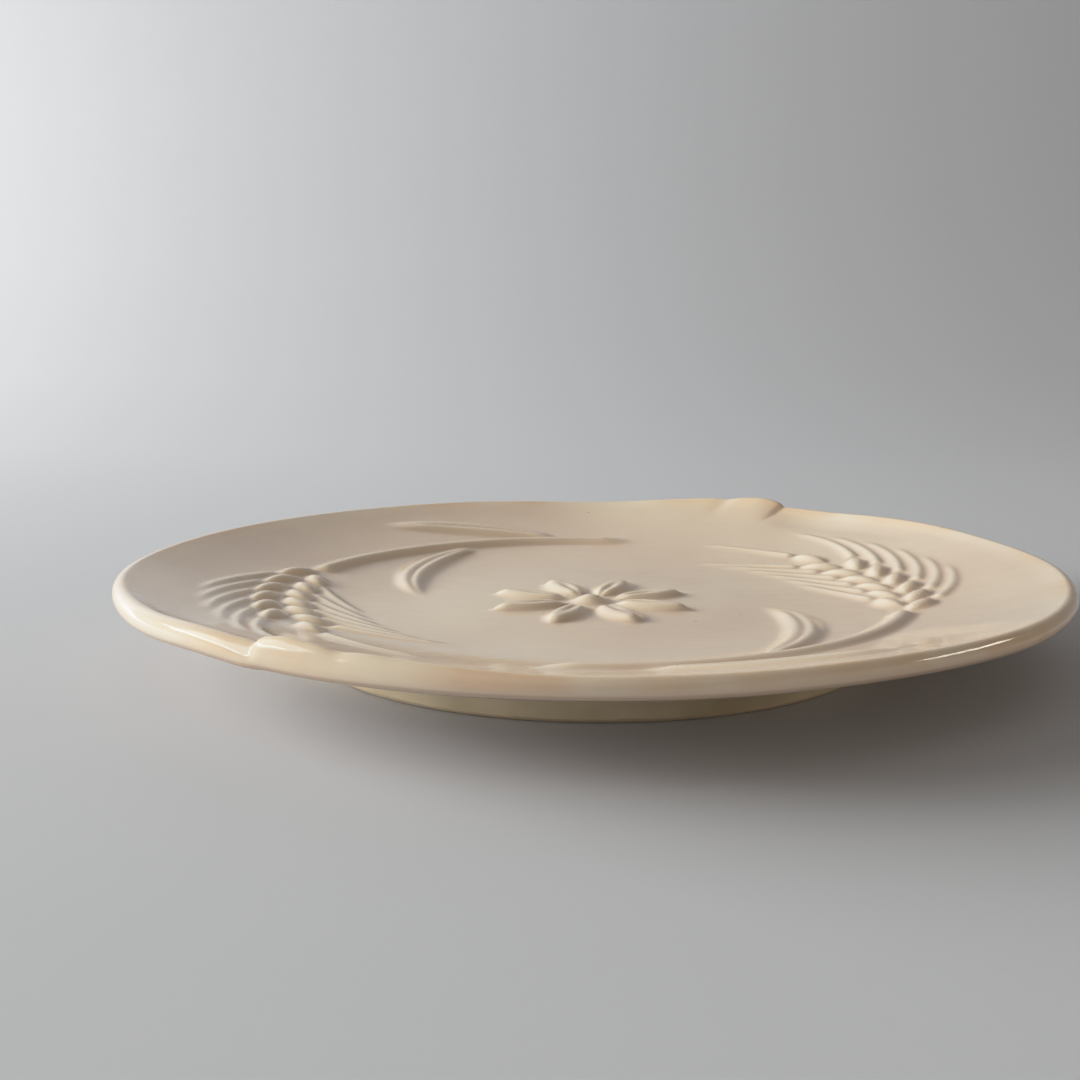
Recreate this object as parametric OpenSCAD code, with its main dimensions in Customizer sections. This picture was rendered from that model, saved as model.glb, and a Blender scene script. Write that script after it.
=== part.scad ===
// Cake plate: a shallow round dish on a foot ring, with two raised laps on its rim
// and a low relief of two wheat sprays round a rosette. Lengths are in millimetres.
// The origin is on the table under the middle of the plate, and +Z is up.

/* [Dish] */
// Diameter over the lip
plate_d = 200; // [190:1:240]
// Height of the lip's crest above the table
crest_h = 18.9; // [16:0.1:26]
// Height of the well's face above the table
well_h = 9.2; // [8:0.1:11]
// Diameter of the flat middle of the well
well_d = 70; // [56:1:84]
// Thickness of the clay under the well
wall = 4.6; // [3.6:0.1:6]
// Thickness of the rolled lip
lip_t = 3.8; // [3:0.1:5]

/* [Foot ring] */
// Outside diameter of the ring where it stands
foot_d = 122; // [104:1:136]
// Width of the standing face with its rounded edges
foot_w = 5; // [4:0.1:8]
// How much wider the ring grows on each side up to the dish
foot_flare = 1.2; // [0.2:0.1:3]
// Radius of the standing face's rounded edges
foot_edge = 0.9; // [0.3:0.1:1.5]

/* [Rim laps] */
// Height of a lap's nose above the lip
lap_h = 2.3; // [1.5:0.1:4]
// Width of a lap across the rim
lap_w = 13; // [8:0.5:15]
// Plan angle of the back lap's highest point
lap_angle = 59; // [40:1:75]
// Sweep of the round nose of a lap, in degrees
lap_nose = 3.5; // [2:0.5:6]
// Sweep of the long slope of a lap, in degrees
lap_tail = 22; // [12:1:28]

/* [Wheat sprays] */
// Distance of the stalk's middle line in from the plate's edge
wheat_inset = 33; // [31:0.5:38]
// Plan angle at which the right ear begins
ear_angle = -15; // [-30:1:0]
// Clear gap between neighbouring pieces of relief
relief_gap = 0.4; // [0.2:0.1:0.8]
// Width of a stalk
stalk_w = 5.2; // [3.6:0.1:6]
// Height of a stalk above the dish
stalk_h = 1.2; // [0.8:0.1:1.8]
// Distance from the end of one spray to the start of the other
spray_gap = 16; // [8:1:24]

/* [Kernels and awns] */
// Length of a kernel
kernel_l = 11; // [9:0.1:12]
// Width of a kernel
kernel_w = 5.4; // [4.2:0.1:6]
// Height of a kernel above the dish
kernel_h = 1.6; // [1:0.1:2]
// Lean of a kernel away from the ear's middle line, in degrees
kernel_lean = 30; // [24:1:36]
// Pairs of kernels in an ear
kernel_pairs = 6; // [4:1:7]
// Length of an awn
awn_l = 30; // [18:1:34]
// Width of an awn at its root
awn_w = 1.8; // [1.2:0.1:2.2]
// Height of an awn above the dish
awn_h = 0.9; // [0.6:0.1:1.2]
// Bend of an awn back towards the ear's middle line, in degrees
awn_bend = 18; // [8:1:22]

/* [Leaves] */
// Width of a leaf
leaf_w = 9; // [6:0.5:10]
// Height of a leaf above the dish
leaf_h = 1.2; // [0.8:0.1:1.6]
// Length of the leaf that curves in towards the rosette
inner_leaf_l = 52; // [36:1:60]
// Distance of that leaf's root from the lower end of the stalk
inner_leaf_at = 44; // [36:1:50]
// Distance of that leaf's tip from the rosette
inner_leaf_clear = 13; // [10:1:18]
// Length of the leaf that curves out over the flange
outer_leaf_l = 46; // [30:1:54]
// Distance of that leaf's root from the lower end of the stalk
outer_leaf_at = 20; // [10:1:30]
// Distance of that leaf's tip from the plate's edge
outer_leaf_clear = 13; // [10:1:18]

/* [Rosette] */
// Diameter over the petals
rosette_d = 48; // [36:1:54]
// Number of petals
petals = 8; // [6:1:10]
// Height of a petal above the well
petal_h = 1.3; // [0.8:0.1:1.8]
// Gap between neighbouring petals half way along them
petal_gap = 2.4; // [1.6:0.1:3.5]
// Diameter of the button in the middle
button_d = 9; // [6:0.5:12]
// Height of the button above the well
button_h = 1.8; // [1:0.1:2.5]

/* [Hidden] */
$fn = 192;
half_turn = 180;
deg_per_rad = 180 / PI;

// Colours of the glaze, lighter where it runs thin on raised clay
glaze = [0.89, 0.84, 0.76];
thin_glaze = [0.93, 0.88, 0.80];
foot_glaze = [0.86, 0.80, 0.68];

// Layer of slip between a piece of relief and the clay under it
slip = 0.03;
// Upright edge all round a piece of relief, below its crown
sprig_edge = 0.25;
// Share of an almond shape cut away at each of its pointed ends
blunt = 0.06;

// Steps along the flange, round the lip and round an edge of the foot
flange_steps = 20;
lip_steps = 12;
edge_steps = 5;
// Steps along and across each kind of relief
kernel_steps = [5, 3];
awn_steps = [6, 2];
leaf_steps = [12, 4];
stalk_steps = [18, 3];
petal_steps = [7, 4];
// Steps along a lap's nose, along its tail, over the flange and over the lip
nose_steps = 5;
tail_steps = 10;
lap_flange_steps = 4;
lap_lip_steps = 5;
// Where on the lip a lap ends, in degrees above the widest point
lap_lip_end = 20;

plate_r = plate_d / 2;
well_r = well_d / 2;
lip_r = lip_t / 2;
under_h = well_h - wall;

// The lip is a full round, and both faces of the dish are arcs that run into it
// without a corner.
lip_x = plate_r - lip_r;
lip_z = crest_h - lip_r;
flange_run = lip_x - well_r;
top_rise = lip_z - well_h;
under_rise = lip_z - under_h;
top_arc_r = (flange_run ^ 2 + top_rise ^ 2 - lip_r ^ 2) / (2 * (top_rise + lip_r));
under_arc_r = (flange_run ^ 2 + under_rise ^ 2 - lip_r ^ 2) / (2 * (under_rise - lip_r));
top_tangent = atan2(top_arc_r - top_rise, -flange_run);
under_tangent = atan2(under_rise - under_arc_r, flange_run);

function arc_z(r, base, arc_r) =
    r <= well_r ? base : base + arc_r - sqrt(arc_r ^ 2 - (r - well_r) ^ 2);
function dish_z(r) = arc_z(r, well_h, top_arc_r);
function under_z(r) = arc_z(r, under_h, under_arc_r);
function lip_point(a, grow = 0) =
    [lip_x + (lip_r + grow) * cos(a), lip_z + (lip_r + grow) * sin(a)];
function mix(a, b, t) = a + (b - a) * t;
function smooth(t) = t * t * (3 - 2 * t);
function quarter_round(t) = sqrt(1 - (1 - t) ^ 2);
function polar(r, a) = [r * cos(a), r * sin(a)];

top_end_r = lip_point(top_tangent).x;
under_end_r = lip_point(under_tangent).x;

// Foot ring, whose seat on the dish's underside is one straight stretch
foot_r = foot_d / 2;
seat_out_r = foot_r + foot_flare;
seat_in_r = foot_r - foot_w - foot_flare;

// Kernels stand in two rows. The pitch keeps each clear of the next one and of the
// next one's awn, and the row's offset keeps it clear of the other row.
wheat_r = plate_r - wheat_inset;
lean_out = sin(kernel_lean);
lean_on = cos(kernel_lean);
kernel_slope = kernel_w * PI / 2;
kernel_pitch = max(
    (kernel_slope + relief_gap) / (lean_out + kernel_slope * lean_on / kernel_l),
    (kernel_w / 2 + awn_w / 2 + relief_gap) / lean_out);
row_swing = kernel_l * lean_out;
row_half = kernel_w / 2 * lean_on;
row_angle = acos(min(1, row_swing / (PI * row_half)));
row_offset = row_swing * (1 / 2 - row_angle / 180) + row_half * sin(row_angle) + relief_gap / 2;
pitch_angle = kernel_pitch / (wheat_r - 2 * row_offset) * deg_per_rad;

// Angles along a spray: the stalk, the ear's last kernel and the end of its awn
function on_spray(length) = length / wheat_r * deg_per_rad;
stalk_end = ear_angle - on_spray(kernel_l / 2 * lean_on + relief_gap);
tip_angle = ear_angle + (kernel_pairs - 1 / 2) * pitch_angle + on_spray(kernel_l * 3 / 4);
awn_rad = awn_bend / deg_per_rad;
awn_end = tip_angle + on_spray(kernel_l / 2 + awn_l);
stalk_start = awn_end - half_turn + on_spray(spray_gap);

rosette_r = rosette_d / 2;
petal_in_r = button_d / 2 + relief_gap;
petal_mid_r = (petal_in_r + rosette_r) / 2;
petal_w = 2 * petal_mid_r * tan(half_turn / petals) - petal_gap;

// Solid through sections that all have the same number of points: the upper edge
// from left to right, then the lower edge back from right to left.
module loft(sections) {
    count = len(sections[0]);
    pairs = count / 2;
    last = (len(sections) - 1) * count;
    sides = [for (j = [0 : len(sections) - 2], k = [0 : count - 1])
        let (a = j * count + k, b = j * count + (k + 1) % count)
        each [[a, b, a + count], [b, b + count, a + count]]];
    first_cap = [for (k = [0 : pairs - 2])
        let (lower = count - 1 - k)
        each [[k, lower, k + 1], [k + 1, lower, lower - 1]]];
    last_cap = [for (face = first_cap)
        [face[0] + last, face[2] + last, face[1] + last]];
    polyhedron([for (s = sections) each s], concat(sides, first_cap, last_cap));
}

// Crowned strip of relief that follows the dish along a path of plan points
module ridge(path, half_widths, rises, across) {
    stations = len(path);
    loft([for (j = [0 : stations - 1])
        let (
            ahead = path[min(j + 1, stations - 1)],
            behind = path[max(j - 1, 0)],
            run = (ahead - behind) / norm(ahead - behind),
            left = [-run.y, run.x],
            spots = [for (k = [0 : across]) path[j] + left * half_widths[j] * (1 - 2 * k / across)],
            crowns = [for (k = [0 : across]) 1 - (1 - 2 * k / across) ^ 2])
        [for (k = [0 : across])
            [spots[k].x, spots[k].y,
             dish_z(norm(spots[k])) + slip + sprig_edge + rises[j] * crowns[k]],
         for (k = [across : -1 : 0])
            [spots[k].x, spots[k].y, dish_z(norm(spots[k])) + slip]]]);
}

// Almond with its middle at a plan point, pointing along a plan angle
module almond(middle, angle, length, width, height, steps) {
    shares = [for (i = [0 : steps[0]]) mix(blunt, 1 - blunt, i / steps[0])];
    ridge(
        [for (s = shares) middle + polar(length * (s - 1 / 2), angle)],
        [for (s = shares) width / 2 * sin(180 * s)],
        [for (s = shares) (height - sprig_edge) * sqrt(sin(180 * s))],
        steps[1]);
}

// Rolled dish with its flat well and the flange that rises to a round lip
module plate_body() {
    top_face = [for (i = [0 : flange_steps])
        let (r = mix(top_end_r, well_r, i / flange_steps)) [r, dish_z(r)]];
    under_radii = [for (i = [0 : flange_steps - 1]) mix(well_r, under_end_r, i / flange_steps)];
    radii = concat(
        [for (r = under_radii) if (r < seat_in_r) r],
        [seat_in_r, seat_out_r],
        [for (r = under_radii) if (r > seat_out_r) r]);
    lip = [for (i = [0 : lip_steps - 1])
        lip_point(mix(under_tangent, top_tangent, i / lip_steps))];
    color(glaze)
        rotate_extrude()
            polygon(concat(
                [[0, under_h]], [for (r = radii) [r, under_z(r)]],
                lip, top_face, [[0, well_h]]));
}

// Ring that the dish stands on, with round edges at the table
module foot_ring() {
    inner_x = foot_r - foot_w + foot_edge;
    outer_x = foot_r - foot_edge;
    color(foot_glaze)
        rotate_extrude()
            polygon(concat(
                [[seat_in_r, under_z(seat_in_r)]],
                [for (i = [0 : edge_steps])
                    [inner_x, foot_edge] + polar(foot_edge, mix(180, 270, i / edge_steps))],
                [for (i = [0 : edge_steps])
                    [outer_x, foot_edge] + polar(foot_edge, mix(270, 360, i / edge_steps))],
                [[seat_out_r, under_z(seat_out_r)]]));
}

// Lap on the rim that rises in a round nose and slopes away counter-clockwise
module rim_lap(peak_angle) {
    inner_r = plate_r - lap_w;
    flange = [for (i = [0 : lap_flange_steps - 1])
        let (t = i / lap_flange_steps, r = mix(inner_r, top_end_r, t))
        [r, dish_z(r) + slip, smooth(t)]];
    lip = [for (i = [0 : lap_lip_steps])
        let (p = lip_point(mix(top_tangent, lap_lip_end, i / lap_lip_steps), slip))
        [p.x, p.y, 1]];
    outline = concat(flange, lip);
    stations = concat(
        [for (i = [0 : nose_steps - 1])
            let (t = i / nose_steps) [peak_angle - lap_nose * (1 - t), quarter_round(t)]],
        [for (i = [0 : tail_steps])
            let (t = i / tail_steps) [peak_angle + lap_tail * t, 1 - t]]);
    count = len(outline);
    color(thin_glaze)
        loft([for (s = stations)
            let (ring = [for (p = outline) polar(p[0], s[0])])
            [for (k = [count - 1 : -1 : 0])
                [ring[k].x, ring[k].y,
                 outline[k][1] + sprig_edge + (lap_h - sprig_edge) * s[1] * outline[k][2]],
             for (k = [0 : count - 1])
                [ring[k].x, ring[k].y, outline[k][1]]]]);
}

module front_rim_lap() rim_lap(lap_angle + half_turn);
module back_rim_lap() rim_lap(lap_angle);

// Stem that runs round the flange up to the ear
module wheat_stalk() {
    steps = stalk_steps[0];
    color(thin_glaze)
        ridge(
            [for (i = [0 : steps]) polar(wheat_r, mix(stalk_start, stalk_end, i / steps))],
            [for (i = [0 : steps]) stalk_w / 2],
            [for (i = [0 : steps]) stalk_h - sprig_edge],
            stalk_steps[1]);
}

// Middle and plan angle of a kernel. Side is 1 in the outer row and -1 in the inner
// row, whose kernels stand half a pitch further on.
function kernel_angle(i, side) = ear_angle + (i + (1 - side) / 4) * pitch_angle;
function kernel_middle(i, side) = polar(wheat_r + side * row_offset, kernel_angle(i, side));
function kernel_heading(i, side) = kernel_angle(i, side) + 90 - side * kernel_lean;

// Two rows of kernels and one more at the tip
module wheat_ear() {
    color(thin_glaze) {
        for (side = [1, -1], i = [0 : kernel_pairs - 1])
            almond(kernel_middle(i, side), kernel_heading(i, side),
                   kernel_l, kernel_w, kernel_h, kernel_steps);
        almond(polar(wheat_r, tip_angle), tip_angle + 90,
               kernel_l, kernel_w, kernel_h, kernel_steps);
    }
}

// Bristle that leaves a kernel's tip along the kernel and bends back along the ear
module awn(root, side) {
    steps = awn_steps[0];
    root_r = norm(root);
    root_angle = atan2(root.y, root.x);
    shares = [for (i = [0 : steps]) i / steps];
    ridge(
        [for (t = shares)
            let (
                lean = kernel_lean - awn_bend * t,
                out = awn_l * (cos(lean) - lean_on) / awn_rad,
                on = awn_l * (lean_out - sin(lean)) / awn_rad)
            polar(root_r + side * out, root_angle + on / root_r * deg_per_rad)],
        [for (t = shares) awn_w / 2 * (1 - 2 / 3 * t)],
        [for (t = shares) (awn_h - sprig_edge) * (1 - 2 / 3 * t)],
        awn_steps[1]);
}

// One awn to each kernel
module wheat_awns() {
    reach = kernel_l / 2 + relief_gap;
    color(thin_glaze) {
        for (side = [1, -1], i = [0 : kernel_pairs - 1])
            awn(kernel_middle(i, side) + polar(reach, kernel_heading(i, side)), side);
        awn(polar(wheat_r, tip_angle) + polar(reach, tip_angle + 90), 0);
    }
}

// Blade that leaves the stalk's edge and winds steadily out or in
module wheat_leaf(root_at, length, root_r, tip_r) {
    steps = leaf_steps[0];
    root_angle = stalk_start + on_spray(root_at);
    sweep = length / ((root_r + tip_r) / 2) * deg_per_rad;
    shares = [for (i = [0 : steps]) i / steps];
    ridge(
        [for (t = shares) polar(mix(root_r, tip_r, t), root_angle + sweep * t)],
        [for (t = shares) leaf_w / 2 * sin(180 * mix(blunt, 1 - blunt, t))],
        [for (t = shares) leaf_h - sprig_edge],
        leaf_steps[1]);
}

// One leaf on each side of the stalk
module wheat_leaves() {
    from_stalk = stalk_w / 2 + relief_gap + leaf_w / 2 * sin(180 * blunt);
    color(thin_glaze) {
        wheat_leaf(inner_leaf_at, inner_leaf_l, wheat_r - from_stalk, rosette_r + inner_leaf_clear);
        wheat_leaf(outer_leaf_at, outer_leaf_l, wheat_r + from_stalk, plate_r - outer_leaf_clear);
    }
}

module right_wheat_stalk() wheat_stalk();
module right_wheat_ear() wheat_ear();
module right_wheat_awns() wheat_awns();
module right_wheat_leaves() wheat_leaves();
module left_wheat_stalk() rotate(half_turn) wheat_stalk();
module left_wheat_ear() rotate(half_turn) wheat_ear();
module left_wheat_awns() rotate(half_turn) wheat_awns();
module left_wheat_leaves() rotate(half_turn) wheat_leaves();

// Ring of petals round the button
module rosette_petals() {
    color(thin_glaze)
        for (i = [0 : petals - 1])
            let (angle = (i + 1 / 2) * 360 / petals)
                almond(polar(petal_mid_r, angle), angle, rosette_r - petal_in_r,
                       petal_w, petal_h, petal_steps);
}

// Low dome in the middle of the well
module rosette_button() {
    button_r = button_d / 2;
    dome_r = (button_r ^ 2 + button_h ^ 2) / (2 * button_h);
    dome_sweep = asin(button_r / dome_r);
    color(thin_glaze)
        translate([0, 0, well_h])
            rotate_extrude()
                polygon(concat(
                    [[0, 0]],
                    [for (i = [0 : edge_steps])
                        [0, button_h - dome_r]
                        + polar(dome_r, mix(90 - dome_sweep, 90, i / edge_steps))]));
}

plate_body();
foot_ring();
front_rim_lap();
back_rim_lap();
right_wheat_stalk();
right_wheat_ear();
right_wheat_awns();
right_wheat_leaves();
left_wheat_stalk();
left_wheat_ear();
left_wheat_awns();
left_wheat_leaves();
rosette_petals();
rosette_button();
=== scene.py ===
"""Looks of a cream-glazed cake plate: one glazed skin over the dish, its rim laps and its low
relief, and a foot ring with a wiped standing edge. Sizes are in millimetres up to the meshes,
which are in metres."""

import math

import bpy
import numpy as np
from mathutils import Euler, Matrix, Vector


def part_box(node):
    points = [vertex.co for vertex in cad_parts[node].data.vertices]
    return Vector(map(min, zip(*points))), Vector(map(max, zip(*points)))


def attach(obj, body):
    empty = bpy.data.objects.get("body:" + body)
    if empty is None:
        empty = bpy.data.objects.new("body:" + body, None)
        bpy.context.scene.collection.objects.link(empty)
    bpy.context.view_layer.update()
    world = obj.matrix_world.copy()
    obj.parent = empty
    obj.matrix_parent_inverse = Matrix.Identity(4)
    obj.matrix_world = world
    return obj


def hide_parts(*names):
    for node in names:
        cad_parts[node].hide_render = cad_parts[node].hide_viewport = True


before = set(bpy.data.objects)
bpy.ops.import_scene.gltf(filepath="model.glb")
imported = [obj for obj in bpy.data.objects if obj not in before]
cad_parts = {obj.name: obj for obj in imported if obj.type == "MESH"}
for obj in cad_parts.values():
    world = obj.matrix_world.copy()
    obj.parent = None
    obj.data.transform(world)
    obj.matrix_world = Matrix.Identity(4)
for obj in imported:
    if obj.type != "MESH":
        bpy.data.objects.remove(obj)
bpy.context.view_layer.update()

MM = 0.001
QUARTER_TURN = math.pi / 2
HALF_TURN = math.pi
FULL_TURN = 2 * math.pi


def node_box(node):
    """Lowest and highest corner of a CAD node, in millimetres."""
    low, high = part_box(node)
    return np.array(low) / MM, np.array(high) / MM


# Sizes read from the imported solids
DISH_LOW, DISH_HIGH = node_box("plate_body")
PLATE_R = DISH_HIGH[0]
CREST_Z = DISH_HIGH[2]
UNDER_Z = DISH_LOW[2]
WELL_Z = node_box("rosette_button")[0][2]
LAP_H = node_box("back_rim_lap")[1][2] - CREST_Z
SEAT_R = node_box("foot_ring")[1][0]

# Dish: radius of the flat well and of the lip's round
WELL_R = 35.0
LIP_R = 1.9

# Foot ring: radius and width where it stands, flare up to its seat, round of its edges, fillet
# of glaze at its top, and how far it sinks into the dish
FOOT_R = 61.0
FOOT_W = 5.0
FOOT_FLARE = SEAT_R - FOOT_R
FOOT_EDGE = 0.9
FOOT_FILLET = 1.6
FOOT_SINK = 0.25

# Rim laps: a round nose, a long slope after it, a soft fold across it and a groove before it.
# The slant is how far the nose lags behind for each millimetre in from the lip.
LAP_PEAK = math.radians(59)
LAP_NOSE = math.radians(4.3)
LAP_TAIL = math.radians(26)
LAP_EASE = 1.3
LAP_SLANT = math.radians(0.13)
FOLD_AFTER = math.radians(5.5)
FOLD_SWEEP = math.radians(1.6)
FOLD_D = 0.45
GROOVE_BEFORE = math.radians(4.6)
GROOVE_SOFT = math.radians(2.6)
GROOVE_STEEP = math.radians(1.0)
GROOVE_D = 0.5

# Shallow hollow inside the lip before each lap: its depth, radius and width, and where it
# begins, is full, fades and ends
HOLLOW_D = 0.45
HOLLOW_R = 90.5
HOLLOW_W = 4.5
HOLLOW_BEGINS = math.radians(3)
HOLLOW_FULL = math.radians(9)
HOLLOW_FADES = math.radians(22)
HOLLOW_ENDS = math.radians(40)

# The lip is thicker before each lap: how much, and where that begins, is full, fades and ends
SWELL_D = 0.45
SWELL_BEGINS = math.radians(2)
SWELL_FULL = math.radians(6)
SWELL_FADES = math.radians(25)
SWELL_ENDS = math.radians(55)

# Rise and fall of the hand-finished rim, and where it is out of round: plan angle in degrees,
# amount and sweep in degrees
RIM_WAVES = [(226, 0.75, 9), (299, 0.5, 16), (27, 0.35, 12), (47, -0.4, 7), (88, -0.8, 13)]
RIM_BULGES = [(187, 0.8, 14), (0, 0.8, 14)]

# Radii at which the rim's forms begin
WAVE_IN_R = 55.0
LAP_IN_R = 85.0
BULGE_IN_R = 88.0
EDGE_IN_R = 92.0
SWELL_IN_R = 94.0

# Wheat sprays, laid out as in the solids. Each leaf leaves the stalk so far along it, and its tip
# keeps clear of the rosette or the rim.
WHEAT_INSET = 33.0
WHEAT_R = PLATE_R - WHEAT_INSET
EAR_ANGLE = math.radians(-15)
RELIEF_GAP = 0.4
SPRAY_GAP = 16.0
STALK_W = 5.2
STALK_H = 1.3
KERNEL_L = 11.0
KERNEL_W = 5.4
KERNEL_H = 1.6
KERNEL_LEAN = math.radians(30)
KERNEL_PAIRS = 6
AWN_L = 30.0
AWN_W = 1.8
AWN_H = 0.9
AWN_BEND = math.radians(18)
LEAF_W = 9.0
LEAF_H = 1.2
INNER_LEAF_L = 52.0
INNER_LEAF_AT = 44.0
INNER_LEAF_CLEAR = 13.0
OUTER_LEAF_L = 46.0
OUTER_LEAF_AT = 20.0
OUTER_LEAF_CLEAR = 13.0

# Rosette
ROSETTE_R = 24.0
PETALS = 8
PETAL_H = 1.4
PETAL_GAP = 2.4
BUTTON_R = 4.5
BUTTON_H = 1.8

# Camera, set from the outline of the photographed plate. The clip start is in metres.
CAMERA_AT = Vector((-11.16, -290.36, 71.14)) * MM
CAMERA_PITCH = math.radians(-9.404)
FOCAL_PIXELS = 1340.0
FRAME_PIXELS = 1080.0
SENSOR_MM = 36.0
CLIP_START = 0.01


def smooth(t):
    """Smooth step from 0 to 1 as t goes from 0 to 1."""
    t = np.clip(t, 0.0, 1.0)
    return t * t * (3.0 - 2.0 * t)


def eased(value, begins, full):
    """Share, from 0 where a value begins to 1 where it is full."""
    return smooth((value - begins) / (full - begins))


def bump(t):
    """Smooth bump, 1 at zero and nearly 0 past two."""
    return np.exp(-t * t)


def polar(r, a):
    """Plan point at a radius and an angle."""
    return np.stack([r * np.cos(a), r * np.sin(a)], axis=-1)


# The lip is a full round that both faces of the dish run into without a corner.
LIP_X = PLATE_R - LIP_R
LIP_Z = CREST_Z - LIP_R
FLANGE_RUN = LIP_X - WELL_R
TOP_RISE = LIP_Z - WELL_Z
UNDER_RISE = LIP_Z - UNDER_Z
TOP_ARC_R = (FLANGE_RUN**2 + TOP_RISE**2 - LIP_R**2) / (2 * (TOP_RISE + LIP_R))
UNDER_ARC_R = (FLANGE_RUN**2 + UNDER_RISE**2 - LIP_R**2) / (2 * (UNDER_RISE - LIP_R))
TOP_TANGENT = math.atan2(TOP_ARC_R - TOP_RISE, -FLANGE_RUN)
UNDER_TANGENT = math.atan2(UNDER_RISE - UNDER_ARC_R, FLANGE_RUN)
TOP_END_R = LIP_X + LIP_R * math.cos(TOP_TANGENT)


def arc_z(r, base, arc_r):
    """Height of a dish face that is flat in the well and an arc over the flange."""
    run = np.maximum(np.asarray(r, float) - WELL_R, 0.0)
    return base + arc_r - np.sqrt(arc_r**2 - run**2)


def dish_z(r):
    """Height of the top face."""
    return arc_z(r, WELL_Z, TOP_ARC_R)


def under_z(r):
    """Height of the underside."""
    return arc_z(r, UNDER_Z, UNDER_ARC_R)


def from_peak(a):
    """Angles since the last lap's peak and before the next one's."""
    after = np.mod(a - LAP_PEAK, HALF_TURN)
    return after, HALF_TURN - after


def lap_rise(a):
    """Height of the two rim laps round the lip."""
    after, before = from_peak(a)
    nose = np.sqrt(np.clip(1.0 - (before / LAP_NOSE) ** 2, 0.0, 1.0))
    tail = np.clip(1.0 - after / LAP_TAIL, 0.0, 1.0) ** LAP_EASE
    fold = FOLD_D * bump((after - FOLD_AFTER) / FOLD_SWEEP)
    return LAP_H * np.maximum(nose, tail) - fold


def groove_depth(a):
    """Depth of the groove at the foot of each nose, soft on the open rim and steep at the nose."""
    ahead = from_peak(a)[1] - GROOVE_BEFORE
    return GROOVE_D * bump(ahead / np.where(ahead > 0, GROOVE_SOFT, GROOVE_STEEP))


def before_lap(a, begins, full, fades, gone):
    """Share, from 0 to 1, of something that stands before each lap."""
    before = from_peak(a)[1]
    return eased(before, begins, full) * (1.0 - eased(before, fades, gone))


def lip_swell(a):
    """How much thicker than usual the lip's round is."""
    return SWELL_D * before_lap(a, SWELL_BEGINS, SWELL_FULL, SWELL_FADES, SWELL_ENDS)


def rim_hollow(r, a):
    """Depth of the hollow between the lip and the flange."""
    share = before_lap(a, HOLLOW_BEGINS, HOLLOW_FULL, HOLLOW_FADES, HOLLOW_ENDS)
    return HOLLOW_D * share * bump((r - HOLLOW_R) / HOLLOW_W)


def unevenness(a, bumps):
    """Sum of soft bumps round the rim."""
    total = np.zeros_like(a)
    for angle, amount, sweep in bumps:
        turn = np.mod(a - math.radians(angle) + HALF_TURN, FULL_TURN) - HALF_TURN
        total += amount * bump(turn / math.radians(sweep))
    return total


def rim_share(r, inner):
    """How much of something on the rim reaches a radius, from none at the inner one."""
    return eased(r, inner, LIP_X)


def lap_share(r):
    """How much of the laps reaches a radius, falling off fastest at the lip."""
    return np.clip((r - LAP_IN_R) / (TOP_END_R - LAP_IN_R), 0.0, 1.0) ** 2


def on_path(points, path):
    """Nearest place on a path for each plan point: distance, signed offset and share of length."""
    start = path[:-1]
    step = path[1:] - start
    length = np.hypot(step[:, 0], step[:, 1])
    travelled = np.concatenate([[0.0], np.cumsum(length)])
    away = points[:, None, :] - start[None, :, :]
    share = np.clip((away * step).sum(2) / length**2, 0.0, 1.0)
    miss = away - share[:, :, None] * step
    distance = np.hypot(miss[:, :, 0], miss[:, :, 1])
    best = distance.argmin(1)
    rows = np.arange(len(points))
    side = step[best, 0] * miss[rows, best, 1] - step[best, 1] * miss[rows, best, 0]
    near = distance[rows, best]
    along = (travelled[best] + share[rows, best] * length[best]) / travelled[-1]
    return near, near * np.sign(side), along


# Crowns of the strokes: how steep a dome is, and where a plateau's shoulder begins
DOME_POWER = 1.8
SHOULDER = 0.25

# Strokes under their glaze. Spread is their width over that of the solid, blunt the power that
# rounds their outline, ends the shares of their length in which the two ends rise, and groove the
# share of the height that is lost along the middle line. An awn narrows and sinks by a share
# towards its tip. A leaf's outline is cut at its root and takes a span of the full one. The
# thinnest width keeps points from having none.
KERNEL_SPREAD = 1.2
KERNEL_BLUNT = 0.8
KERNEL_GROOVE = 0.22
KERNEL_GROOVE_W = 0.45
AWN_SPREAD = 1.9
AWN_NARROWS = 0.4
AWN_SINKS = 0.55
AWN_ENDS = (0.06, 0.25)
STALK_SPREAD = 1.25
STALK_ENDS = (0.10, 0.03)
LEAF_SPREAD = 1.1
LEAF_BLUNT = 0.85
LEAF_CUT = 0.05
LEAF_SPAN = 0.92
LEAF_ENDS = (0.12, 0.25)
LEAF_GROOVE = 0.5
LEAF_GROOVE_W = 0.6
PETAL_SPREAD = 1.06
PETAL_BLUNT = 0.85
PETAL_ENDS = (0.2, 0.2)
PETAL_GROOVE = 0.45
PETAL_GROOVE_W = 0.7
PETAL_GROOVE_FADES = 0.35
PETAL_GROOVE_GONE = 0.75
BUTTON_SPREAD = 1.1
THINNEST = 1e-3


def dome(u):
    """Soft crown across a stroke, where u is 0 on its middle line and 1 at its foot."""
    return np.clip(1.0 - u * u, 0.0, 1.0) ** DOME_POWER


def plateau(u):
    """Flatter crown with a soft shoulder."""
    return 1.0 - eased(u, SHOULDER, 1.0)


def spindle(t, width, blunt):
    """Half width of a stroke that is widest in the middle and pointed at both ends."""
    return width / 2 * np.sin(HALF_TURN * t) ** blunt + THINNEST


def ends(t, head, tail):
    """Taper of a stroke's height over a share of its length at its two ends."""
    return smooth(np.minimum(t / head, (1.0 - t) / tail))


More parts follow.
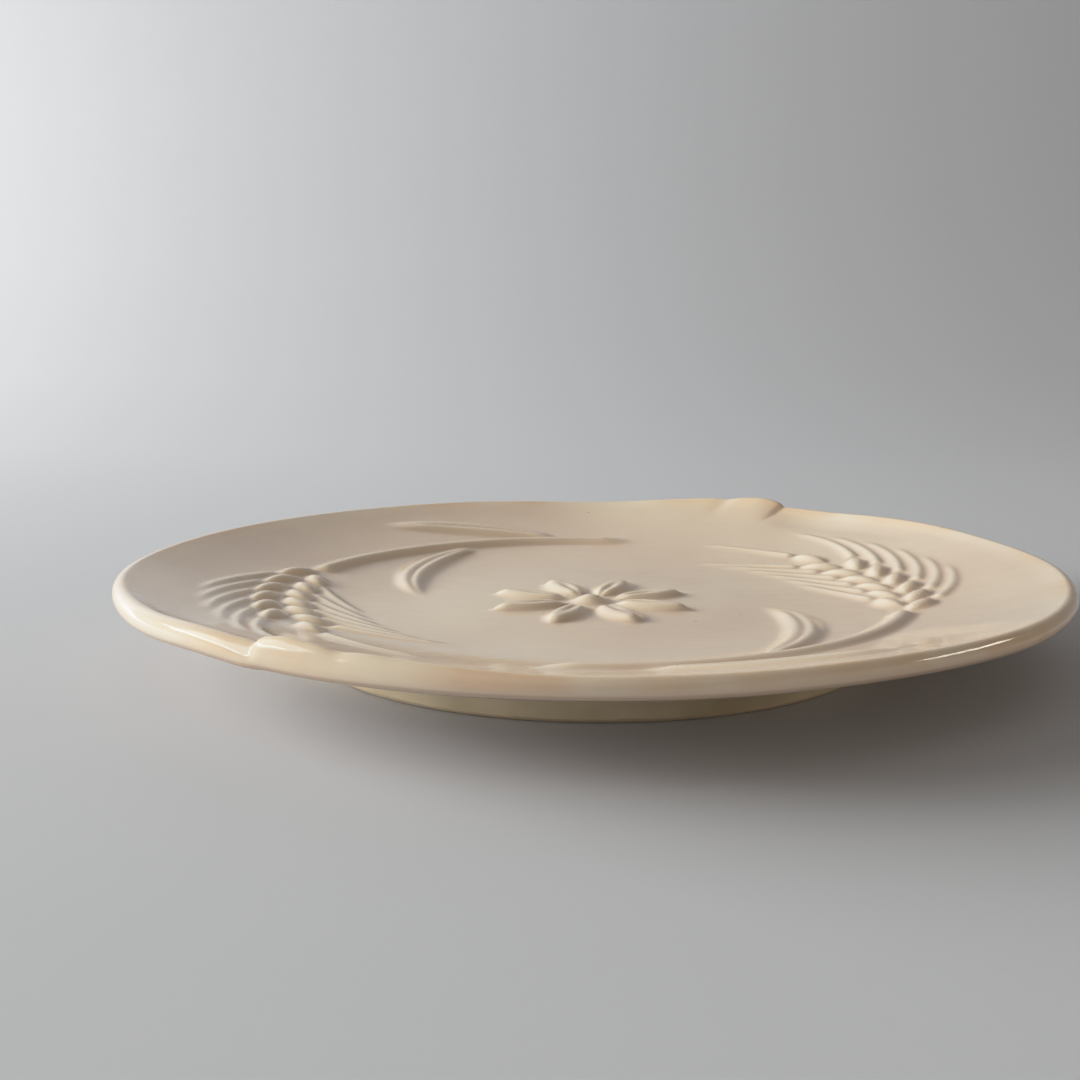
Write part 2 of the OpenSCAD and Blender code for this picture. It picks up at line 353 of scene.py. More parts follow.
# Each shape gives the height of a stroke at a share of its length, a distance from its path and
# the same distance with a sign for the side.
def kernel_shape(t, distance, offset):
    """Round grain with a fine crease."""
    half = spindle(t, KERNEL_SPREAD * KERNEL_W, KERNEL_BLUNT)
    high = KERNEL_H * np.sqrt(np.sin(HALF_TURN * t))
    groove = KERNEL_GROOVE * bump(offset / KERNEL_GROOVE_W)
    return high * dome(distance / half) * (1.0 - groove)


def awn_shape(t, distance, offset):
    """Bristle that gets narrower and lower towards its tip."""
    half = AWN_SPREAD * AWN_W / 2 * (1.0 - AWN_NARROWS * t)
    return AWN_H * (1.0 - AWN_SINKS * t) * ends(t, *AWN_ENDS) * dome(distance / half)


def stalk_shape(t, distance, offset):
    """Round stem of one width."""
    half = STALK_SPREAD * STALK_W / 2
    return STALK_H * ends(t, *STALK_ENDS) * dome(distance / half)


def leaf_shape(t, distance, offset):
    """Flat blade with a groove all along it."""
    half = spindle(LEAF_CUT + LEAF_SPAN * t, LEAF_SPREAD * LEAF_W, LEAF_BLUNT)
    high = LEAF_H * ends(t, *LEAF_ENDS)
    groove = LEAF_GROOVE * bump(offset / LEAF_GROOVE_W)
    return high * plateau(distance / half) * (1.0 - groove)


def petal_shape(t, distance, offset):
    """Flat petal with a groove that fades outwards."""
    half = spindle(t, PETAL_SPREAD * PETAL_W, PETAL_BLUNT)
    left = 1.0 - eased(t, PETAL_GROOVE_FADES, PETAL_GROOVE_GONE)
    groove = PETAL_GROOVE * bump(offset / PETAL_GROOVE_W) * left
    return PETAL_H * ends(t, *PETAL_ENDS) * plateau(distance / half) * (1.0 - groove)


# Kernels stand in two rows, as far apart as they need to be to clear each other. The one at the
# tip stands ahead of them by a share of its length.
TIP_LEAD = 0.75
KERNEL_SLOPE = KERNEL_W * QUARTER_TURN
KERNEL_PITCH = max(
    (KERNEL_SLOPE + RELIEF_GAP)
    / (math.sin(KERNEL_LEAN) + KERNEL_SLOPE * math.cos(KERNEL_LEAN) / KERNEL_L),
    (KERNEL_W / 2 + AWN_W / 2 + RELIEF_GAP) / math.sin(KERNEL_LEAN),
)
ROW_SWING = KERNEL_L * math.sin(KERNEL_LEAN)
ROW_HALF = KERNEL_W / 2 * math.cos(KERNEL_LEAN)
ROW_ANGLE = math.acos(min(1.0, ROW_SWING / (HALF_TURN * ROW_HALF)))
ROW_OFFSET = (
    ROW_SWING * (0.5 - ROW_ANGLE / HALF_TURN) + ROW_HALF * math.sin(ROW_ANGLE) + RELIEF_GAP / 2
)
PITCH_ANGLE = KERNEL_PITCH / (WHEAT_R - 2 * ROW_OFFSET)
STALK_END = EAR_ANGLE - (KERNEL_L / 2 * math.cos(KERNEL_LEAN) + RELIEF_GAP) / WHEAT_R
TIP_ANGLE = EAR_ANGLE + (KERNEL_PAIRS - 0.5) * PITCH_ANGLE + TIP_LEAD * KERNEL_L / WHEAT_R
AWN_END = TIP_ANGLE + (KERNEL_L / 2 + AWN_L) / WHEAT_R
STALK_START = AWN_END - HALF_TURN + SPRAY_GAP / WHEAT_R
PETAL_IN_R = BUTTON_R + RELIEF_GAP
PETAL_MID_R = (PETAL_IN_R + ROSETTE_R) / 2
PETAL_W = 2 * PETAL_MID_R * math.tan(HALF_TURN / PETALS) - PETAL_GAP


# Points along the path of each kind of stroke
STALK_POINTS = 48
LEAF_POINTS = 24
AWN_POINTS = 16


def straight(middle, angle, length):
    """Path of a straight stroke about its middle."""
    reach = polar(length / 2, angle)
    return np.array([middle - reach, middle + reach])


def kernels():
    """Middle, heading and side of each kernel of the right ear. The inner row starts half a pitch
    later than the outer one."""
    found = []
    for side, later in ((1, 0.0), (-1, 0.5)):
        for i in range(KERNEL_PAIRS):
            angle = EAR_ANGLE + (i + later) * PITCH_ANGLE
            middle = polar(WHEAT_R + side * ROW_OFFSET, angle)
            found.append((middle, angle + QUARTER_TURN - side * KERNEL_LEAN, side))
    found.append((polar(WHEAT_R, TIP_ANGLE), TIP_ANGLE + QUARTER_TURN, 0))
    return found


def awn_path(middle, heading, side):
    """Path of the awn that leaves a kernel's tip and bends back along the ear."""
    root = middle + polar(KERNEL_L / 2, heading)
    root_r = np.hypot(*root)
    lean = KERNEL_LEAN - AWN_BEND * np.linspace(0.0, 1.0, AWN_POINTS)
    out = AWN_L * (np.cos(lean) - math.cos(KERNEL_LEAN)) / AWN_BEND
    on = AWN_L * (math.sin(KERNEL_LEAN) - np.sin(lean)) / AWN_BEND
    return polar(root_r + side * out, math.atan2(root[1], root[0]) + on / root_r)


def leaf_path(root_at, length, root_r, tip_r):
    """Path of a leaf that leaves the stalk and winds steadily out or in."""
    t = np.linspace(0.0, 1.0, LEAF_POINTS)
    sweep = length / ((root_r + tip_r) / 2)
    return polar(root_r + (tip_r - root_r) * t, STALK_START + root_at / WHEAT_R + sweep * t)


def spray_strokes():
    """Paths and shapes of the right wheat spray."""
    stalk = polar(WHEAT_R, np.linspace(STALK_START, STALK_END, STALK_POINTS))
    strokes = [(stalk, stalk_shape)]
    for middle, heading, side in kernels():
        strokes.append((straight(middle, heading, KERNEL_L), kernel_shape))
        strokes.append((awn_path(middle, heading, side), awn_shape))
    inner_tip = ROSETTE_R + INNER_LEAF_CLEAR
    outer_tip = PLATE_R - OUTER_LEAF_CLEAR
    inner = leaf_path(INNER_LEAF_AT, INNER_LEAF_L, WHEAT_R - STALK_W / 2, inner_tip)
    outer = leaf_path(OUTER_LEAF_AT, OUTER_LEAF_L, WHEAT_R + STALK_W / 2, outer_tip)
    return strokes + [(inner, leaf_shape), (outer, leaf_shape)]


def rosette_strokes():
    """Paths and shapes of the petals."""
    strokes = []
    for i in range(PETALS):
        angle = (i + 0.5) * FULL_TURN / PETALS
        path = straight(polar(PETAL_MID_R, angle), angle, ROSETTE_R - PETAL_IN_R)
        strokes.append((path, petal_shape))
    return strokes


# A stroke is felt within this reach of its path, and meets others the more sharply the higher
# the power is.
STROKE_REACH = 6.0
BLEND_POWER = 4.0


def relief_height(points):
    """Height of the relief at plan points, where strokes that meet run into each other softly."""
    both = [(path * turn, shape) for path, shape in spray_strokes() for turn in (1.0, -1.0)]
    total = np.zeros(len(points))
    for path, shape in both + rosette_strokes():
        low = path.min(0) - STROKE_REACH
        high = path.max(0) + STROKE_REACH
        near = np.flatnonzero(((points > low) & (points < high)).all(1))
        distance, offset, along = on_path(points[near], path)
        total[near] += shape(along, distance, offset) ** BLEND_POWER
    button = BUTTON_H * dome(np.hypot(points[:, 0], points[:, 1]) / (BUTTON_SPREAD * BUTTON_R))
    return (total + button**BLEND_POWER) ** (1.0 / BLEND_POWER)


# Glaze evens out the relief by this share of the way to the mean of so many sides, at this reach
# from each point. The hollows beside the relief are painted darkest, partly as pooled glaze and
# partly as shade, where it fills this much.
GLAZE_SHARE = 0.5
SIDES = 6
GLAZE_REACH = 1.1
POOL_AND_SHADING_DEPTH = 0.45
# How far the lip's lower side is painted darker as shade, how far its upper side is painted paler,
# partly as thin glaze and partly as light, and where the painted shade ends underneath
LIP_SHADE = 0.95
LIP_THIN_AND_LIT = 0.45
UNDER_SHADE_R = 78.0


def glazed_relief(points):
    """Height of the relief under its glaze, and how much darker or paler it is painted, from 1 in
    the hollows beside the relief, partly pooled glaze and partly painted shade, to -1 on its
    sharpest crowns, partly thin glaze and partly painted highlight."""
    bare = relief_height(points)
    around = np.zeros(len(points))
    for turn in np.arange(SIDES) * FULL_TURN / SIDES:
        around += relief_height(points + polar(GLAZE_REACH, turn)) / SIDES
    filled = around - bare
    return bare + GLAZE_SHARE * filled, np.clip(filled / POOL_AND_SHADING_DEPTH, -1.0, 1.0)


class Lathe:
    """Mesh built ring by ring. A ring may have as many points as the last one, twice or half."""

    def __init__(self):
        self.points = []
        self.faces = []
        self.sizes = []
        self.edge = []
        self.last = None

    def pole(self, z):
        """One point on the axis."""
        self._join([len(self.points)])
        self.points.append((0.0, 0.0, float(z)))
        self.sizes.append(1)
        self.edge.append(0.0)

    def ring(self, xyz, edge):
        """Ring of points, counter-clockwise from above, and how far it belongs to the lip, from 1
        on its upper side, painted paler, to -1 on its lower side, painted darker as shade."""
        first = len(self.points)
        self.points.extend(map(tuple, xyz))
        self._join(list(range(first, first + len(xyz))))
        self.sizes.append(len(xyz))
        self.edge.append(edge)

    def _join(self, new):
        """Faces between the last ring and a new one."""
        old = self.last
        self.last = new
        if old is None:
            return
        count = max(len(old), len(new))
        for k in range(count):
            a, b = old[k * len(old) // count], old[(k + 1) % count * len(old) // count]
            c, d = new[k * len(new) // count], new[(k + 1) % count * len(new) // count]
            if a == b:
                self.faces.append((a, c, d))
            elif c == d:
                self.faces.append((a, c, b))
            else:
                self.faces.append((a, c, d, b))


def mesh_piece(name, points, faces, material):
    """Smooth-shaded object from points in millimetres, riding on the plate."""
    mesh = bpy.data.meshes.new(name)
    mesh.from_pydata((np.array(points) * MM).tolist(), [], faces)
    mesh.update()
    mesh.shade_smooth()
    mesh.materials.append(material)
    piece = bpy.data.objects.new(name, mesh)
    bpy.context.scene.collection.objects.link(piece)
    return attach(piece, "root")


# Bands of rings on the top: inner radius, outer radius and step, fine where there is relief
TOP_BANDS = [
    (0.0, 5.0, 0.8),
    (5.0, 25.0, 0.5),
    (25.0, 36.5, 1.0),
    (36.5, 88.5, 0.69),
    (88.5, 97.2, 0.7),
]
# Rings round the lip and underneath, points in the widest rings and in a quarter of a circle
LIP_STEPS = 26
UNDER_STEPS = 24
SEGMENTS = 640
ARC_STEPS = 7
# Inside each of these radii a ring has half as many points as outside it
HALVED_BELOW = (24.0, 12.0, 6.0, 3.0)
# A ring's points stand closer together about this angle and the one opposite
CROWD_ANGLE = math.radians(45)
CROWDING = 0.45
# Places round the lip, as turns in radians up from its outermost line: where the groove is
# deepest, how far from there it ends and over how much it fades, and where the laps, the paler
# upper side and the painted shade on the lower side begin and are full
GROOVE_TURN = 0.5
GROOVE_REACH = 1.26
GROOVE_FADE = 1.4
LAP_TURNS = (-0.6, 1.6)
UPPER_LIP_TURNS = (-0.6, -0.1)
LIP_SHADE_TURNS = (-0.09375, -0.71875)


def ring_angles(count):
    """Angles of a ring's points, which crowd towards the ears and the noses of the laps."""
    even = np.arange(count) * FULL_TURN / count
    return even - CROWDING / 2 * np.sin(2 * (even - CROWD_ANGLE))


def segments_at(r):
    """Points in a ring, halved towards the middle so that the faces stay even."""
    return SEGMENTS >> sum(r < limit for limit in HALVED_BELOW)


def rim_rise(r, a, lap):
    """Rise of the top face at the rim, from its waves and a share of the laps."""
    wave = rim_share(r, WAVE_IN_R) * unevenness(a, RIM_WAVES)
    return wave + lap * lap_rise(a - LAP_SLANT * np.maximum(LIP_X - r, 0.0))


def rim_ring(r, a, z):
    """Points of a ring, with the rim's bulges."""
    round_r = r + rim_share(r, BULGE_IN_R) * unevenness(a, RIM_BULGES)
    return np.column_stack([polar(round_r, a), z])


def glazed_dish(material):
    """Skin of glaze over the dish, its laps and its relief, closed underneath."""
    radii = np.concatenate([np.arange(a, b, step) for a, b, step in TOP_BANDS])[1:]
    rings = [(r, ring_angles(segments_at(r))) for r in radii]
    relief, pool_and_shading = glazed_relief(np.concatenate([polar(r, a) for r, a in rings]))
    lathe = Lathe()
    lathe.pole(WELL_Z + relief[0])
    start = 0
    for r, a in rings:
        raised = relief[start : start + len(a)]
        start += len(a)
        z = dish_z(r) + raised + rim_rise(r, a, lap_share(r)) - rim_hollow(r, a)
        z += rim_share(r, SWELL_IN_R) * lip_swell(a)
        lathe.ring(rim_ring(r, a, z), eased(r, EDGE_IN_R, TOP_END_R))
    a = ring_angles(SEGMENTS)
    for turn in np.linspace(TOP_TANGENT, UNDER_TANGENT, LIP_STEPS):
        grooved = smooth((GROOVE_REACH - abs(turn - GROOVE_TURN)) / GROOVE_FADE)
        section = LIP_R + lip_swell(a) - groove_depth(a) * grooved
        z = LIP_Z + section * math.sin(turn) + rim_rise(LIP_X, a, eased(turn, *LAP_TURNS))
        # Painted shade on the lip's lower side, and its upper side painted paler
        edge = eased(turn, *UPPER_LIP_TURNS) - LIP_SHADE * eased(turn, *LIP_SHADE_TURNS)
        lathe.ring(rim_ring(LIP_X + section * math.cos(turn), a, z), edge)
    under_end = LIP_X + LIP_R * math.cos(UNDER_TANGENT)
    a = a[::2]
    for r in np.linspace(under_end, 0.0, UNDER_STEPS)[1:-1]:
        z = under_z(r) + rim_rise(r, a, 0.0) - rim_share(r, SWELL_IN_R) * lip_swell(a)
        # The underside is painted darker as shade from this radius out
        lathe.ring(rim_ring(r, a, z), -LIP_SHADE * rim_share(r, UNDER_SHADE_R))
    lathe.pole(UNDER_Z)
    lathe.faces = [f[::-1] for f in lathe.faces]
    piece = mesh_piece("glazed_dish", lathe.points, lathe.faces, material)
    lay_out(piece.data, lathe)
    edge = np.repeat(lathe.edge, lathe.sizes)
    # Values below the lip are painted shade; on the lip's upper side they are thin glaze and
    # painted light
    glaze_and_shading = np.where(edge < 0.0, -edge, -LIP_THIN_AND_LIT * edge)
    glaze_and_shading[1 : 1 + len(pool_and_shading)] += pool_and_shading
    for name, values in (("pool_and_shading", glaze_and_shading), ("edge", np.clip(edge, 0.0, 1.0))):
        piece.data.attributes.new(name, "FLOAT", "POINT").data.foreach_set("value", values)
    return piece


# Discs that the top and the underside of the skin are laid out on for baking: middle and radius
TOP_DISC = ((0.34, 0.66), 0.33)
UNDER_DISC = ((0.79, 0.21), 0.20)


def lay_out(mesh, lathe):
    """Map of the skin with its top and its underside as two discs that part at the lip, where
    the distance from a disc's middle follows the way along the skin."""
    points = np.array(lathe.points)
    ring_of = np.repeat(np.arange(len(lathe.sizes)), lathe.sizes)
    radius = np.bincount(ring_of, np.hypot(points[:, 0], points[:, 1])) / lathe.sizes
    height = np.bincount(ring_of, points[:, 2]) / lathe.sizes
    way = np.concatenate([[0.0], np.cumsum(np.hypot(np.diff(radius), np.diff(height)))])
    widest = radius.argmax()
    corners = np.empty(len(mesh.loops), int)
    mesh.loops.foreach_get("vertex_index", corners)
    counts = np.array([len(f) for f in lathe.faces])
    lowest = np.maximum.reduceat(ring_of[corners], np.cumsum(counts) - counts)
    under = np.repeat(lowest > widest, counts)
    gone = way[ring_of[corners]]
    share = np.where(under, (way[-1] - gone) / (way[-1] - way[widest]), gone / way[widest])
    turn = np.arctan2(points[corners, 1], points[corners, 0]) * np.where(under, -1.0, 1.0)
    (top_middle, top_r), (under_middle, under_r) = TOP_DISC, UNDER_DISC
    place = np.where(under[:, None], under_middle, top_middle)
    place = place + polar(share * np.where(under, under_r, top_r), turn)
    mesh.uv_layers.new(name="OFBake").data.foreach_set("uv", place.ravel())


def quarter_arc(x, z, radius, first, sense):
    """Profile points of a quarter circle from an angle, turning by the sense of +1 or -1."""
    turns = first + sense * np.linspace(0.0, QUARTER_TURN, ARC_STEPS)
    return [(x + radius * math.cos(t), z + radius * math.sin(t)) for t in turns]


def foot_ring(material):
    """Ring under the dish with round standing edges and fillets of glaze at its top."""
    inner_r = FOOT_R - FOOT_W
    seat_in_r = inner_r - FOOT_FLARE
    outer_z = under_z(SEAT_R) + FOOT_SINK - FOOT_FILLET
    inner_z = under_z(seat_in_r) + FOOT_SINK - FOOT_FILLET
    profile = quarter_arc(SEAT_R + FOOT_FILLET, outer_z, FOOT_FILLET, QUARTER_TURN, 1)
    profile += quarter_arc(FOOT_R - FOOT_EDGE, FOOT_EDGE, FOOT_EDGE, 0.0, -1)
    profile += quarter_arc(inner_r + FOOT_EDGE, FOOT_EDGE, FOOT_EDGE, -QUARTER_TURN, -1)
    profile += quarter_arc(seat_in_r - FOOT_FILLET, inner_z, FOOT_FILLET, 0.0, 1)
    count = SEGMENTS // 2
    a = np.arange(count) * FULL_TURN / count
    points = []
    for r, z in profile:
        points.extend(map(tuple, np.column_stack([polar(r, a), np.full(count, z)])))
    faces = []
    for i in range(len(profile)):
        j = (i + 1) % len(profile)
        for k in range(count):
            n = (k + 1) % count
            faces.append((i * count + k, j * count + k, j * count + n, i * count + n))
    return mesh_piece("foot_ring_glazed", points, faces, material)


# Ranges that are read or given by a ramp
UPWARD = (0.0, 1.0)
DOWNWARD = (1.0, 0.0)
BELOW_ZERO = (0.0, -1.0)

# Sockets of a Mix node that blends colours
MIX_SHARE = 0
MIX_FIRST = 6
MIX_SECOND = 7
MIX_RESULT = 2


class Shading:
    """Material with its shader, and short ways to add the nodes that feed it."""

    def __init__(self, name):
        self.material = bpy.data.materials.new(name)
        self.material.use_nodes = True
        self.tree = self.material.node_tree
        self.shader = self.tree.nodes["Principled BSDF"]
        self.place = self.node("ShaderNodeTexCoord").outputs["Object"]

    def node(self, kind, **inputs):
        """Node whose named inputs are set to a value or linked to a socket."""
        made = self.tree.nodes.new(kind)
        for name, value in inputs.items():
            self.feed(made.inputs[name.replace("_", " ")], value)
        return made

    def feed(self, socket, value):
        """Set a socket to a value, or link it to another socket."""
        if isinstance(value, bpy.types.NodeSocket):
            self.tree.links.new(value, socket)
        else:
            socket.default_value = value

    def set(self, **inputs):
        """Inputs of the shader, by name with _ for each space."""
        for name, value in inputs.items():
            self.feed(self.shader.inputs[name.replace("_", " ")], value)

    def noise(self, scale, detail):
        """Noise from 0 to 1, with its scale in features per metre."""
        made = self.node("ShaderNodeTexNoise", Vector=self.place, Scale=scale, Detail=detail)
        return made.outputs["Fac"]

    def ramp(self, value, span, shown=UPWARD):
        """Value carried from one range to another, and held at its ends."""
        made = self.node("ShaderNodeMapRange", Value=value, From_Min=span[0], From_Max=span[1])
        self.feed(made.inputs["To Min"], shown[0])
        self.feed(made.inputs["To Max"], shown[1])
        return made.outputs["Result"]

    def blend(self, share, first, second):
        """Colour between two others."""
        made = self.node("ShaderNodeMix")
        made.data_type = "RGBA"
        self.feed(made.inputs[MIX_SHARE], share)
        self.feed(made.inputs[MIX_FIRST], first)
        self.feed(made.inputs[MIX_SECOND], second)
        return made.outputs[MIX_RESULT]

    def join(self, operation, first, second):
        """Sum, product or other join of two values."""
        made = self.node("ShaderNodeMath")
        made.operation = operation
        self.feed(made.inputs[0], first)
        self.feed(made.inputs[1], second)
        return made.outputs[0]

    def carried(self, name):
        """Value that the mesh carries at its points."""
        made = self.node("ShaderNodeAttribute")
        made.attribute_name = name
        return made.outputs["Fac"]

    def height_of(self):
        """Height above the table, in metres."""
        split = self.node("ShaderNodeSeparateXYZ", Vector=self.place)
        return split.outputs["Z"]

    def bumped(self, height, strength, distance, **under):
        """Normal with a bump, on top of another bump where one is given."""
        made = self.node(
            "ShaderNodeBump", Height=height, Strength=strength, Distance=distance, **under
        )
        return made.outputs["Normal"]


# Colours of the glaze and the clay, in linear light
CREAM = (0.80, 0.655, 0.52, 1)
WARM_CREAM = (0.74, 0.575, 0.455, 1)
# The thin glaze colour is also painted light on the lip's upper side and the relief crowns
THIN_GLAZE_AND_LIGHT = (0.91, 0.815, 0.66, 1)
# The pooled glaze colour is also painted shade on the lip's lower side, the underside and beside
# the relief
POOLED_GLAZE_AND_SHADE = (0.57, 0.415, 0.30, 1)
TOASTED = (0.79, 0.59, 0.43, 1)
SPECK = (0.16, 0.10, 0.06, 1)
FOOT_GLAZE = (0.87, 0.755, 0.55, 1)
FOOT_STAIN = (0.68, 0.55, 0.38, 1)
BARE_CLAY = (0.62, 0.51, 0.38, 1)

# Noise in the glaze, as features per metre and detail, the span of it that counts, and what that
# span gives: a share of a colour or a roughness
CLOUD_NOISE = (22.0, 3.0)
CLOUD_SPAN = (0.35, 0.68)
TOAST_NOISE = (44.0, 2.0)
TOAST_SPAN = (0.42, 0.58)
TOAST_SHARE = (0.1, 0.95)
GLOSS_NOISE = (60.0, 2.0)
GLOSS_SPAN = (0.3, 0.7)
GLOSS_ROUGHNESS = (0.05, 0.09)
# Shares of pooled glaze and painted shade, and of thin glaze and painted light
POOL_AND_SHADE_SHARE = (0.0, 0.75)
THIN_AND_LIGHT_SHARE = (0.0, 0.8)
# Iron specks: cells per metre, a speck's core and edge in cells, and its share of colour there
SPECK_CELLS = 90.0
SPECK_SPAN = (0.014, 0.028)
SPECK_SHARE = (0.8, 0.0)
# Unevenness of the glaze: noise, and strength and depth in metres of its bump
FLOW_NOISE = (110.0, 1.0)
FLOW_BUMP = (0.14, 0.0006)
SKIN_NOISE = (420.0, 1.0)
SKIN_BUMP = (0.08, 0.0003)
# Foot: stains, the ragged height in metres below which it is wiped, and what wiping changes
STAIN_NOISE = (45.0, 4.0)
STAIN_SPAN = (0.38, 0.66)
RAGGED_NOISE = (160.0, 3.0)
RAGGED_SPAN = (0.3, 0.7)
RAGGED_H = (-0.00022, 0.00022)
WIPED_H = (0.0007, 0.0010)
WIPED_ROUGHNESS = (0.22, 0.85)
GRAIN_NOISE = (900.0, 2.0)
GRAIN_STRENGTH = (0.08, 0.5)
GRAIN_DEPTH = 0.0003


def glaze_material():
    """Cream glaze, darker where it pools and paler where it runs thin, with painted shade on the
    lip's lower side, the underside and beside the relief and painted light on the lip's upper side
    and the relief crowns, toasted in places along the lip, with a few iron specks."""
    glaze = Shading("cream_glaze")
    cloud = glaze.ramp(glaze.noise(*CLOUD_NOISE), CLOUD_SPAN)
    colour = glaze.blend(cloud, CREAM, WARM_CREAM)
    # Darker for pooled glaze and painted shade, paler for thin glaze and painted light
    glaze_and_shading = glaze.carried("pool_and_shading")
    colour = glaze.blend(glaze.ramp(glaze_and_shading, UPWARD, POOL_AND_SHADE_SHARE), colour, POOLED_GLAZE_AND_SHADE)
    colour = glaze.blend(glaze.ramp(glaze_and_shading, BELOW_ZERO, THIN_AND_LIGHT_SHARE), colour, THIN_GLAZE_AND_LIGHT)
    toast = glaze.ramp(glaze.noise(*TOAST_NOISE), TOAST_SPAN, TOAST_SHARE)
    colour = glaze.blend(glaze.join("MULTIPLY", glaze.carried("edge"), toast), colour, TOASTED)
    cells = glaze.node("ShaderNodeTexVoronoi", Vector=glaze.place, Scale=SPECK_CELLS)
    speck = glaze.ramp(cells.outputs["Distance"], SPECK_SPAN, SPECK_SHARE)
    colour = glaze.blend(speck, colour, SPECK)
    gloss = glaze.ramp(glaze.noise(*GLOSS_NOISE), GLOSS_SPAN, GLOSS_ROUGHNESS)
    flow = glaze.bumped(glaze.noise(*FLOW_NOISE), *FLOW_BUMP)
    skin = glaze.bumped(glaze.noise(*SKIN_NOISE), *SKIN_BUMP, Normal=flow)
    glaze.set(Base_Color=colour, Roughness=gloss, Normal=skin)
    return glaze.material


def foot_material():
    """Thin yellower glaze on the ring, wiped back to bare clay where it stands."""
    foot = Shading("foot_glaze")
    stain = foot.ramp(foot.noise(*STAIN_NOISE), STAIN_SPAN)
    ragged = foot.ramp(foot.noise(*RAGGED_NOISE), RAGGED_SPAN, RAGGED_H)
    wiped = foot.ramp(foot.join("ADD", foot.height_of(), ragged), WIPED_H, DOWNWARD)
    colour = foot.blend(stain, FOOT_GLAZE, FOOT_STAIN)
    grain = foot.noise(*GRAIN_NOISE)
    rough = foot.ramp(wiped, UPWARD, WIPED_ROUGHNESS)
    strength = foot.ramp(wiped, UPWARD, GRAIN_STRENGTH)
    foot.set(Base_Color=foot.blend(wiped, colour, BARE_CLAY), Roughness=rough)
    foot.set(Normal=foot.bumped(grain, strength, GRAIN_DEPTH))
    return foot.material


def add_camera():
    """Camera at the photograph's viewing angle."""
    data = bpy.data.cameras.new("camera")
    data.sensor_width = SENSOR_MM
    data.lens = SENSOR_MM * FOCAL_PIXELS / FRAME_PIXELS
    data.clip_start = CLIP_START
    camera = bpy.data.objects.new("camera", data)
    camera.location = CAMERA_AT
    camera.rotation_euler = Euler((QUARTER_TURN + CAMERA_PITCH, 0.0, 0.0))
    bpy.context.scene.collection.objects.link(camera)
    bpy.context.scene.camera = camera


# Floor and surroundings, with lengths in metres
FLOOR_HALF = 4.0
SWEEP_START = 0.45
SWEEP_R = 0.90
SWEEP_TOP = 1.5
FLOOR_GREY = (0.59, 0.607, 0.665, 1)
FLOOR_ROUGHNESS = 0.95
FLOOR_SPECULAR = 0.1
WORLD_TINT = (1.0, 0.90, 0.79, 1)
WORLD_STRENGTH = 0.15
# Whether a lamp lights things, and whether the glaze mirrors it
LIGHT_ONLY = (True, False)
LIGHT_AND_SHINE = (True, True)
SHINE_ONLY = (False, True)
# Name, azimuth and elevation in degrees, distance and size in metres, energy in watts, colour and
# task of each lamp
LAMPS = [
    ("window", 164, 15, 1.6, (1.3, 0.3), 33.2, (0.97, 0.97, 0.91), LIGHT_ONLY),
    ("side_window", 205, 9, 1.6, (0.9, 0.45), 3.4, (0.97, 0.96, 0.90), LIGHT_ONLY),
    ("window_glow", 178, 29, 1.6, (1.3, 0.7), 9.8, (0.97, 0.98, 0.90), LIGHT_AND_SHINE),
    ("glint_strip", 174, 22, 1.6, (1.4, 0.05), 3.4, (0.98, 1.0, 0.92), LIGHT_AND_SHINE),
    ("front_sky", -90, 58, 1.6, (1.4, 0.9), 1.2, (1.0, 0.96, 0.86), LIGHT_AND_SHINE),
    ("front_fill", -40, 12, 1.6, (1.6, 0.5), 1.3, (1.0, 0.92, 0.74), LIGHT_AND_SHINE),
    ("right_lamp", -7, 15, 1.2, (0.65, 0.07), 1.0, (1.0, 0.86, 0.62), LIGHT_ONLY),
    ("right_glint", 4, 28, 1.2, (0.7, 0.12), 2.8, (1.0, 0.93, 0.78), SHINE_ONLY),
]


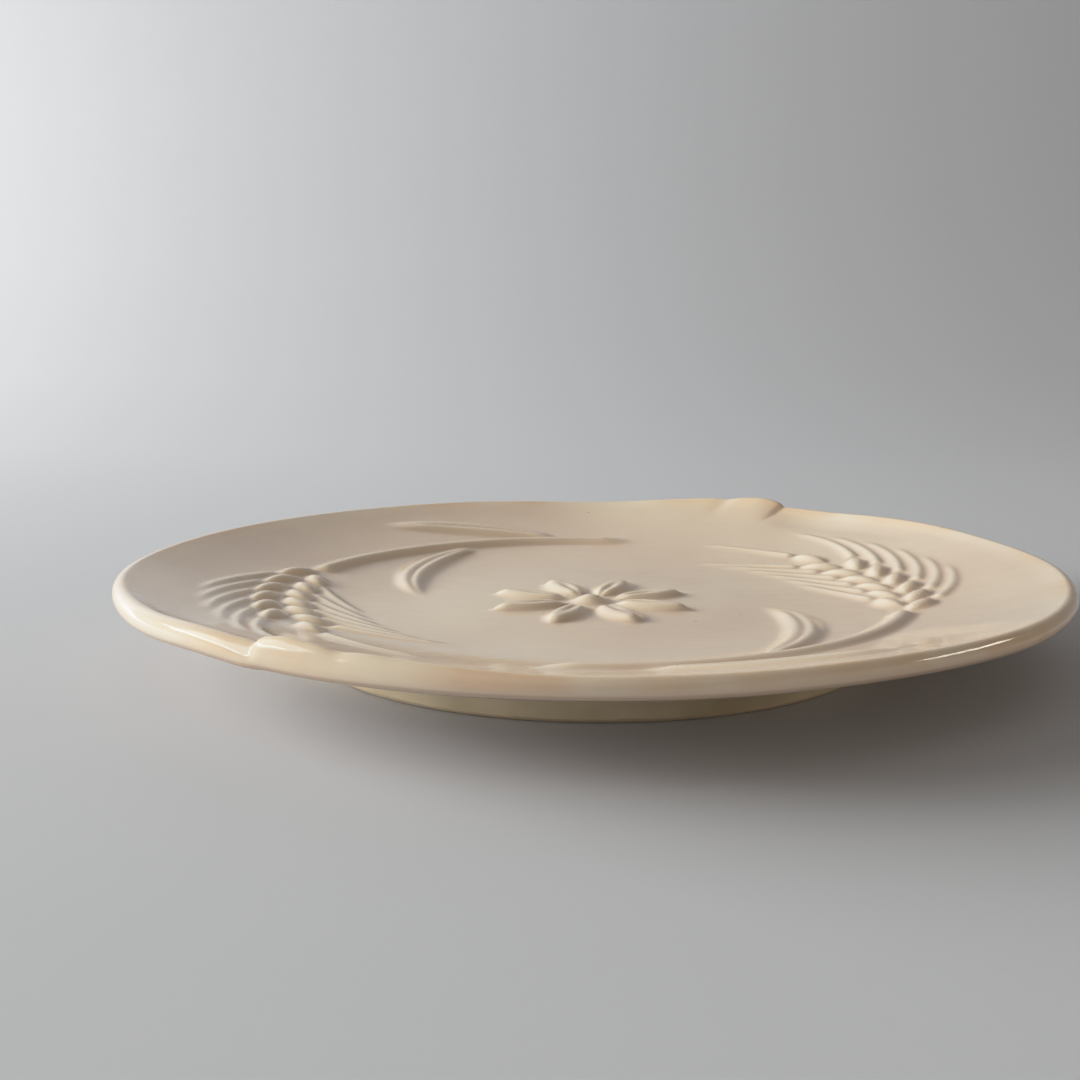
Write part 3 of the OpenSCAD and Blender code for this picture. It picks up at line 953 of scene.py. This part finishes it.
def add_floor():
    """Plain pale floor that sweeps up behind the plate."""
    profile = [(-FLOOR_HALF, 0.0)]
    profile += quarter_arc(SWEEP_START, SWEEP_R, SWEEP_R, -QUARTER_TURN, 1)
    profile += [(SWEEP_START + SWEEP_R, SWEEP_TOP)]
    points = [(x, y, z) for y, z in profile for x in (-FLOOR_HALF, FLOOR_HALF)]
    faces = [(2 * i, 2 * i + 1, 2 * i + 3, 2 * i + 2) for i in range(len(profile) - 1)]
    mesh = bpy.data.meshes.new("floor")
    mesh.from_pydata(points, [], faces)
    mesh.shade_smooth()
    paper = Shading("pale_floor")
    paper.set(Base_Color=FLOOR_GREY, Roughness=FLOOR_ROUGHNESS)
    paper.set(Specular_IOR_Level=FLOOR_SPECULAR)
    mesh.materials.append(paper.material)
    floor = bpy.data.objects.new("floor", mesh)
    bpy.context.scene.collection.objects.link(floor)


def add_lamp(name, azimuth, elevation, distance, size, energy, colour, task):
    """Area lamp that faces the plate from a direction in degrees, with +X at azimuth 0."""
    data = bpy.data.lights.new(name, "AREA")
    data.shape = "RECTANGLE"
    data.size, data.size_y = size
    data.energy = energy
    data.color = colour
    lamp = bpy.data.objects.new(name, data)
    lamp.visible_diffuse, lamp.visible_glossy = task
    flat = math.cos(math.radians(elevation))
    toward = Vector(
        (
            flat * math.cos(math.radians(azimuth)),
            flat * math.sin(math.radians(azimuth)),
            math.sin(math.radians(elevation)),
        )
    )
    lamp.location = toward * distance
    lamp.rotation_euler = toward.to_track_quat("Z", "Y").to_euler()
    bpy.context.scene.collection.objects.link(lamp)


def add_light():
    """Low window light from the left, a warm room and a small lamp on the right."""
    world = bpy.data.worlds.new("studio")
    bpy.context.scene.world = world
    world.use_nodes = True
    background = world.node_tree.nodes["Background"]
    background.inputs["Color"].default_value = WORLD_TINT
    background.inputs["Strength"].default_value = WORLD_STRENGTH
    for lamp in LAMPS:
        add_lamp(*lamp)


# Tone curve that holds back the brightest light: which curve acts on all colours at once, its
# white level, and points as shares of it
ALL_COLOURS = 3
TONE_WHITE = 2.0
TONE_POINTS = [(0.15, 0.30), (0.30, 0.60), (0.45, 0.80), (0.70, 0.94)]


def set_tones():
    """Soft shoulder on the highlights, as in a photograph."""
    view = bpy.context.scene.view_settings
    view.view_transform = "Standard"
    view.use_curve_mapping = True
    view.curve_mapping.white_level = (TONE_WHITE,) * 3
    curve = view.curve_mapping.curves[ALL_COLOURS]
    for share, shown in TONE_POINTS:
        curve.points.new(share, shown)
    view.curve_mapping.update()


set_tones()
add_camera()
add_floor()
add_light()

dish = glazed_dish(glaze_material())
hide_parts(*[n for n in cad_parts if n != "foot_ring"])
foot = foot_ring(foot_material())
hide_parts("foot_ring")
